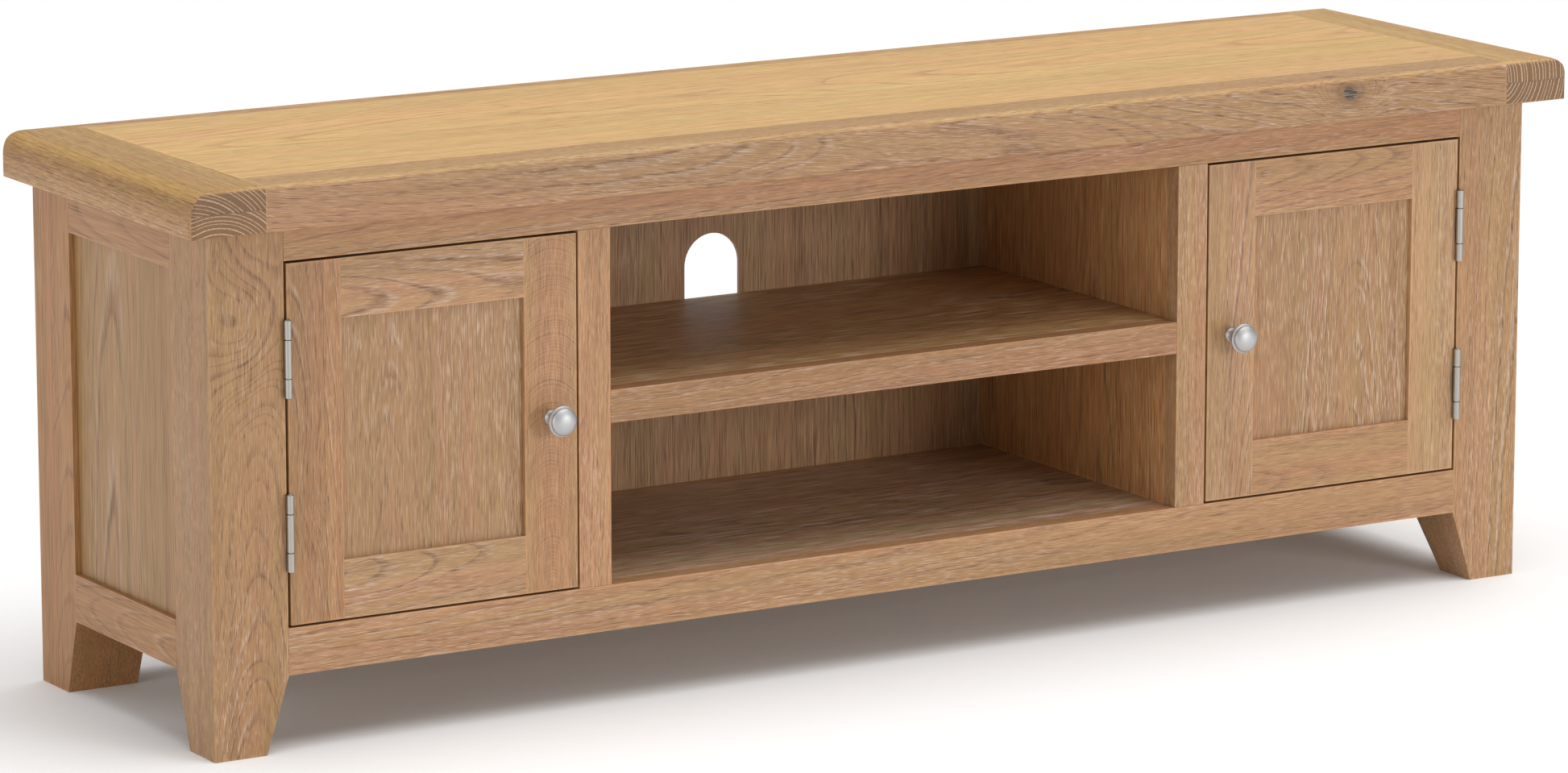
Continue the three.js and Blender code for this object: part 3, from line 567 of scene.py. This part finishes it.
def oak_material(name, index):
    """One board's own oak: its cut, grain direction, knots, joints and tone."""
    axes, look, pith, slope, ring, sway = PIECES[name]
    style = LOOKS[look]
    light, dark = style["light"], style["dark"]
    strokes = style["strokes"]
    low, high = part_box(name)
    middle = (low + high) / 2
    rows = grain_rows(axes, slope)
    shift = Vector([-row.dot(middle) for row in rows])
    shift -= Vector((pith[0] * MM, pith[1] * MM, 0))
    shift.z += FIRST_BOARD + BOARD_STEP * index
    straight = grain_rows(axes, (slope[0], 0))

    material, g = new_material("oak_" + name)
    source = g.node("ShaderNodeTexCoord").outputs
    place = source["Object"]
    turned = g.join(*[g.vector("DOT_PRODUCT", place, tuple(row)) for row in rows])
    grain = g.vector("ADD", turned, tuple(shift))
    turned = g.join(*[g.vector("DOT_PRODUCT", place, tuple(row)) for row in straight])
    fibres = g.vector("ADD", turned, tuple(shift))
    board = 1.0
    seam = 0.0
    for axis, joint, jump, tone in JOINTS.get(name, []):
        coordinate = g.split(place)["xyz".index(axis)]
        beyond = g.math("GREATER_THAN", coordinate, joint * MM)
        leap = g.scaled((jump[0] * MM, jump[1] * MM, BEYOND_JOINT), beyond)
        grain = g.vector("ADD", grain, leap)
        fibres = g.vector("ADD", fibres, leap)
        board = g.math("MULTIPLY", g.mix_value(beyond, 1.0, tone), board)
        gap = g.math("ABSOLUTE", g.math("SUBTRACT", coordinate, joint * MM))
        seam = g.math("MAXIMUM", g.remap(gap, *GLUE_LINE, 1.0, 0.0), seam)
    core = 0.0
    halo = 0.0
    for centre, radius, push, darkness in KNOTS.get(name, []):
        at = Vector([row.dot(Vector(centre) * MM) for row in rows]) + shift
        knot = g.group(KNOT, Grain=grain, Centre=tuple(at), Radius=radius * MM, Push=push * MM)
        grain = knot["Grain"]
        core = g.math("MULTIPLY_ADD", knot["Core"], darkness, core)
        halo = g.math("MULTIPLY_ADD", knot["Halo"], darkness, halo)
    along = Vector([1.0 if letter == axes[2] else 0.0 for letter in "xyz"])
    facing = g.math("ABSOLUTE", g.vector("DOT_PRODUCT", source["Normal"], tuple(along)))
    # Nearness to an arris: it places the rubbed wear and the painted arris highlight.
    wear_and_highlight = g.group(WEAR_AND_HIGHLIGHT, Object=place, Low=tuple(low), High=tuple(high))["Wear"]
    if look in ("top", "top_frame"):
        # Painted light from above: the upward faces are painted lighter and more golden than the
        # vertical faces, which keep the front's colours.
        upward_painted_light = g.remap(g.vector("DOT_PRODUCT", source["Normal"], (0, 0, 1)), *UPWARD_PAINTED_LIGHT)
        light = g.mix(upward_painted_light, LOOKS["front"]["light"], light)
        dark = g.mix(upward_painted_light, LOOKS["front"]["dark"], dark)
    oak = g.group(
        OAK, Grain=grain, Fibres=fibres, Ring=ring * MM, Sway=sway * MM, Wave=style["wave"] * MM,
        Squeeze=style["squeeze"], Line=style["line"], Fibre=style["fibre"],
        Pores=style["pores"], Lime=style["lime"], Rim=style["rim"],
        Lime_Size=(strokes[0], strokes[0], strokes[1]), Broad=style["broad"], Light=light,
        Dark=dark, Lime_Colour=LIME, Wear=wear_and_highlight, End=g.remap(facing, *END_GRAIN), Core=core,
        Halo=halo,
    )
    shade = g.math("MULTIPLY", board, g.math("MULTIPLY_ADD", seam, -GLUE_LINE_DARKNESS, 1.0))
    tint = g.scaled(TONES.get(name, PLAIN_TONE), shade)
    colour = g.mix(1.0, oak["Colour"], tint, blend="MULTIPLY")
    shader = principled(g, colour, oak["Roughness"])
    shader.inputs["IOR"].default_value = LACQUER["ior"]
    shader.inputs["Coat Weight"].default_value = LACQUER["coat"]
    shader.inputs["Coat Roughness"].default_value = LACQUER["coat_roughness"]
    add_bump(g, shader, oak["Height"], strength=0.4, depth_mm=0.4)
    return material


# ---- metal and plastic -----------------------------------------------------------------------

# Noise scales in cycles per metre.
SMUDGE_SCALE = (90, 90, 90)
GRIT_SCALE = (1800, 1800, 1800)
CLOUD_SCALE = (60, 60, 60)


def metal_material(name, colour, rough, brushed, spread):
    """Satin metal: fine turning or rolling marks, smudges and slightly duller patches."""
    material, g = new_material(name)
    place = g.node("ShaderNodeTexCoord").outputs["Object"]
    marks = g.noise(place, brushed, 3.0, 0.6)
    smudge = g.noise(place, SMUDGE_SCALE, 2.0)
    shade = g.math("MULTIPLY_ADD", g.math("SUBTRACT", smudge, 0.5), spread, 1.0)
    tinted = g.mix(1.0, colour, g.join(shade, shade, shade), blend="MULTIPLY")
    roughness = g.math("MULTIPLY_ADD", g.math("SUBTRACT", smudge, 0.5), 0.22, rough)
    roughness = g.math("MULTIPLY_ADD", g.math("SUBTRACT", marks, 0.5), 0.12, roughness)
    shader = principled(g, tinted, roughness)
    shader.inputs["Metallic"].default_value = 1.0
    add_bump(g, shader, marks, strength=0.15, depth_mm=0.1)
    return material


def plastic_material(name, colour):
    """Moulded plastic with a fine grit."""
    material, g = new_material(name)
    place = g.node("ShaderNodeTexCoord").outputs["Object"]
    grit = g.noise(place, GRIT_SCALE, 2.0)
    cloud = g.noise(place, CLOUD_SCALE, 1.0)
    shade = g.math("MULTIPLY_ADD", g.math("SUBTRACT", cloud, 0.5), 0.2, 1.0)
    tinted = g.mix(1.0, colour, g.join(shade, shade, shade), blend="MULTIPLY")
    shader = principled(g, tinted, g.math("MULTIPLY_ADD", grit, 0.2, 0.42))
    add_bump(g, shader, grit, strength=0.3, depth_mm=0.1)
    return material


NICKEL = metal_material("satin_nickel", srgb(187, 187, 187), rough=0.52,
                        brushed=(900, 900, 900), spread=0.10)
STEEL = metal_material("hinge_steel", srgb(172, 169, 162), rough=0.33,
                       brushed=(1500, 1500, 60), spread=0.14)
CATCH = plastic_material("catch_plastic", srgb(96, 74, 58))


# ---- surface finish of the CAD pieces --------------------------------------------------------


def smooth_group(angle_deg):
    """Smooth shading, with edges sharper than the angle kept sharp."""
    tree = bpy.data.node_groups.new("smooth_by_angle", "GeometryNodeTree")
    tree.interface.new_socket("Geometry", in_out="INPUT", socket_type="NodeSocketGeometry")
    tree.interface.new_socket("Geometry", in_out="OUTPUT", socket_type="NodeSocketGeometry")
    g = Graph(tree)
    start = g.node("NodeGroupInput")
    end = g.node("NodeGroupOutput")
    faces = g.node("GeometryNodeSetShadeSmooth", domain="FACE")
    edges = g.node("GeometryNodeSetShadeSmooth", domain="EDGE")
    angle = g.node("GeometryNodeInputMeshEdgeAngle").outputs["Unsigned Angle"]
    sharp = g.math("GREATER_THAN", angle, math.radians(angle_deg))
    g.put(faces.inputs["Geometry"], start.outputs[0])
    g.put(edges.inputs["Geometry"], faces.outputs[0])
    g.put(edges.inputs["Selection"], sharp)
    edges.inputs["Shade Smooth"].default_value = False
    g.put(end.inputs[0], edges.outputs[0])
    return tree


SMOOTH_ANGLE_DEG = 32
WELD_REACH = 0.01 * MM
FLAT_ANGLE_DEG = 0.6
ARRIS_ANGLE_DEG = 40
BEVEL_SEGMENTS = 2
SMOOTH = smooth_group(SMOOTH_ANGLE_DEG)


def finish_surface(piece, bevel_mm, weld=True):
    """Welds the facets, eases the arrises and smooths the curved faces."""
    if weld:
        joined = piece.modifiers.new("weld", "WELD")
        joined.merge_threshold = WELD_REACH
        flat = piece.modifiers.new("flat_faces", "DECIMATE")
        flat.decimate_type = "DISSOLVE"
        flat.angle_limit = math.radians(FLAT_ANGLE_DEG)
    if bevel_mm:
        eased = piece.modifiers.new("eased_arris", "BEVEL")
        eased.width = bevel_mm * MM
        eased.segments = BEVEL_SEGMENTS
        eased.limit_method = "ANGLE"
        eased.angle_limit = math.radians(ARRIS_ANGLE_DEG)
        eased.use_clamp_overlap = True
    piece.modifiers.new("smooth", "NODES").node_group = SMOOTH
    if bevel_mm:
        piece.modifiers.new("flat_normals", "WEIGHTED_NORMAL").keep_sharp = True


# How far the arrises are eased, in millimetres, by look and then by kind of fitting.
BEVELS = {"top": 0.3, "top_frame": 0.3, "front": 0.6, "rail": 0.6, "side": 0.6, "door": 0.5,
          "panel": 0.2, "inside": 0.5, "shelf": 0.5}
CATCH_BEVEL = 0.8
HINGE_BEVEL = 0.25

for index, name in enumerate(sorted(PIECES)):
    piece = nodes[name]
    piece.data.materials.clear()
    piece.data.materials.append(oak_material(name, index))
    finish_surface(piece, BEVELS[PIECES[name][1]])

for name, piece in sorted(nodes.items()):
    if name in PIECES:
        continue
    piece.data.materials.clear()
    if name.startswith("catch_left") or name.startswith("catch_right"):
        piece.data.materials.append(CATCH)
        finish_surface(piece, CATCH_BEVEL)
    elif name.startswith("knob_"):
        piece.data.materials.append(STEEL if "screw" in name else NICKEL)
        finish_surface(piece, 0)
    else:
        piece.data.materials.append(STEEL)
        finish_surface(piece, HINGE_BEVEL)


# ---- turned knobs ----------------------------------------------------------------------------

# Half outline of a knob in millimetres: (radius, distance in front of the door).
KNOB_PROFILE = [
    (0.0, 30.6), (2.6, 30.5), (5.2, 30.1), (7.7, 29.4), (9.8, 28.4), (11.4, 27.3), (12.5, 26.2),
    (13.0, 25.0), (12.95, 24.4), (12.7, 24.0), (12.65, 23.5), (13.1, 23.2), (13.8, 22.9),
    (14.3, 22.4), (14.4, 21.7), (14.15, 20.9), (13.6, 20.4), (12.4, 20.15), (10.9, 19.6),
    (8.9, 18.0), (7.2, 15.8), (6.0, 13.2), (5.3, 10.6), (5.0, 8.2), (5.1, 5.8), (5.6, 3.9),
    (6.5, 2.6), (7.2, 1.8), (7.35, 0.9), (7.2, 0.0), (2.3, 0.0), (2.3, 14.8), (0.0, 15.0),
]
KNOB_SEGMENTS = 64


def lathe(name, profile, centre, segments, axis):
    """A closed turned mesh. The profile runs from the axis back to the axis."""
    work = bmesh.new()
    rings = []
    for radius, forward in profile:
        if radius == 0:
            rings.append([work.verts.new((0, 0, forward * MM))])
            continue
        ring = []
        for step in range(segments):
            turn = 2 * math.pi * step / segments
            ring.append(work.verts.new(
                (radius * MM * math.cos(turn), radius * MM * math.sin(turn), forward * MM)))
        rings.append(ring)
    for upper, lower in zip(rings, rings[1:]):
        for step in range(segments):
            following = (step + 1) % segments
            corners = [upper[step % len(upper)], lower[step % len(lower)],
                       lower[following % len(lower)], upper[following % len(upper)]]
            face = [v for n, v in enumerate(corners) if v not in corners[:n]]
            work.faces.new(face)
    bmesh.ops.recalc_face_normals(work, faces=work.faces)
    mesh = bpy.data.meshes.new(name)
    turn = Vector((0, 0, 1)).rotation_difference(Vector(axis)).to_matrix().to_4x4()
    bmesh.ops.transform(work, matrix=Matrix.Translation(centre) @ turn, verts=work.verts)
    work.to_mesh(mesh)
    work.free()
    made = bpy.data.objects.new(name, mesh)
    scene.collection.objects.link(made)
    return made


for side in ("left", "right"):
    low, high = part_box("knob_" + side)
    centre = Vector(((low.x + high.x) / 2, high.y, (low.z + high.z) / 2))
    knob = lathe("knob_turned_" + side, KNOB_PROFILE, centre, KNOB_SEGMENTS, (0, -1, 0))
    knob.data.materials.append(NICKEL)
    finish_surface(knob, 0, weld=False)
    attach(knob, side + "_door")
    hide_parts("knob_" + side)


# ---- hinge screws ----------------------------------------------------------------------------

SCREW_PROFILE = [(0.0, 0.12), (1.4, 0.16), (2.2, 0.10), (2.7, -0.1), (2.5, -0.5), (0.0, -0.6)]
SCREW_SEGMENTS = 24

# Each leaf's screws in millimetres: above the leaf's middle, and behind the cabinet's front.
SCREW_SPOTS = ((-26, 9.5), (0, 12.5), (26, 9.5))


def screw_head(name, centre, axis, body):
    head = lathe(name, SCREW_PROFILE, centre, SCREW_SEGMENTS, axis)
    head.data.materials.append(STEEL)
    finish_surface(head, 0, weld=False)
    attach(head, body)


for side, sign in (("left", -1), ("right", 1)):
    stile_low, stile_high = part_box("door_hinge_stile_" + side)
    post_low, post_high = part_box("post_front_" + side)
    door_edge_x = stile_high.x if sign > 0 else stile_low.x
    post_face_x = post_low.x if sign > 0 else post_high.x
    for level in ("upper", "lower"):
        for owner, body in (("frame", "carcass"), ("door", side + "_door")):
            low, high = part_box(f"hinge_{owner}_leaf_{side}_{level}")
            middle_z = (low.z + high.z) / 2
            # The plate's open face: the post's looks inwards and the door's looks outwards.
            facing = -sign if owner == "frame" else sign
            plate_x = post_face_x if owner == "frame" else door_edge_x
            for number, (up, back) in enumerate(SCREW_SPOTS):
                spot = Vector((plate_x, post_low.y + back * MM, middle_z + up * MM))
                label = f"hinge_screw_{owner}_{side}_{level}_{number + 1}"
                screw_head(label, spot, (facing, 0, 0), body)


# ---- floor, light and camera -----------------------------------------------------------------

# The floor reaches far past the picture, in metres, and is off-white.
FLOOR_HALF = 60
FLOOR_CELLS = 8
FLOOR_CLOUD_SCALE = (0.8, 0.8, 0.8)
FLOOR_COLOURS = ((0.90, 0.90, 0.90, 1), (0.93, 0.93, 0.93, 1))


def studio_floor():
    work = bmesh.new()
    bmesh.ops.create_grid(work, x_segments=FLOOR_CELLS, y_segments=FLOOR_CELLS, size=FLOOR_HALF)
    mesh = bpy.data.meshes.new("studio_floor")
    work.to_mesh(mesh)
    work.free()
    floor = bpy.data.objects.new("studio_floor", mesh)
    scene.collection.objects.link(floor)
    material, g = new_material("studio_floor")
    place = g.node("ShaderNodeTexCoord").outputs["Object"]
    cloud = g.noise(place, FLOOR_CLOUD_SCALE, 2.0)
    shader = principled(g, g.mix(cloud, *FLOOR_COLOURS), 0.9)
    shader.inputs["Specular IOR Level"].default_value = 0.1
    floor.data.materials.append(material)


def area_light(name, place, target, size, power):
    light = bpy.data.lights.new(name, "AREA")
    light.shape = "RECTANGLE"
    light.size, light.size_y = size
    light.energy = power
    holder = bpy.data.objects.new(name, light)
    holder.location = place
    holder.rotation_mode = "QUATERNION"
    holder.rotation_quaternion = (Vector(target) - Vector(place)).to_track_quat("-Z", "Y")
    scene.collection.objects.link(holder)


def soft_sun(place, power, spread_deg):
    light = bpy.data.lights.new("overhead", "SUN")
    light.energy = power
    light.angle = math.radians(spread_deg)
    holder = bpy.data.objects.new("overhead", light)
    holder.rotation_mode = "QUATERNION"
    holder.rotation_quaternion = (-Vector(place)).to_track_quat("-Z", "Y")
    scene.collection.objects.link(holder)


def studio_world(strength, seen):
    """White surroundings. The camera sees them as bright as the floor."""
    world = bpy.data.worlds.new("studio")
    world.use_nodes = True
    g = Graph(world.node_tree)
    background = world.node_tree.nodes["Background"]
    background.inputs["Color"].default_value = (1, 1, 1, 1)
    direct = g.node("ShaderNodeLightPath").outputs["Is Camera Ray"]
    g.put(background.inputs["Strength"], g.mix_value(direct, strength, seen))
    scene.world = world


# Fitted to the photo's edges and corners: the place in metres, then a turn down and to the side.
CAMERA = {"place": (-3.386, -5.554, 1.5695), "down_deg": 11.573, "turn_deg": -31.154,
          "lens_mm": 159.55, "sensor_mm": 36, "far": 200}


def studio_camera():
    data = bpy.data.cameras.new("camera")
    data.sensor_width = CAMERA["sensor_mm"]
    data.lens = CAMERA["lens_mm"]
    data.clip_end = CAMERA["far"]
    holder = bpy.data.objects.new("camera", data)
    holder.location = CAMERA["place"]
    tilt = math.radians(90 - CAMERA["down_deg"])
    holder.rotation_euler = (tilt, 0, math.radians(CAMERA["turn_deg"]))
    scene.collection.objects.link(holder)
    scene.camera = holder


studio_floor()
area_light("key", place=(1.6, -4.4, 1.15), target=(0, 0, 0.27), size=(1.5, 1.1), power=59)
area_light("fill", place=(-4.6, -1.0, 1.2), target=(0, 0, 0.3), size=(2.4, 2.0), power=43)
soft_sun(place=(0.4, -0.3, 2.0), power=2.15, spread_deg=60)
studio_world(strength=0.43, seen=1.04)
studio_camera()
scene.view_settings.view_transform = "Standard"
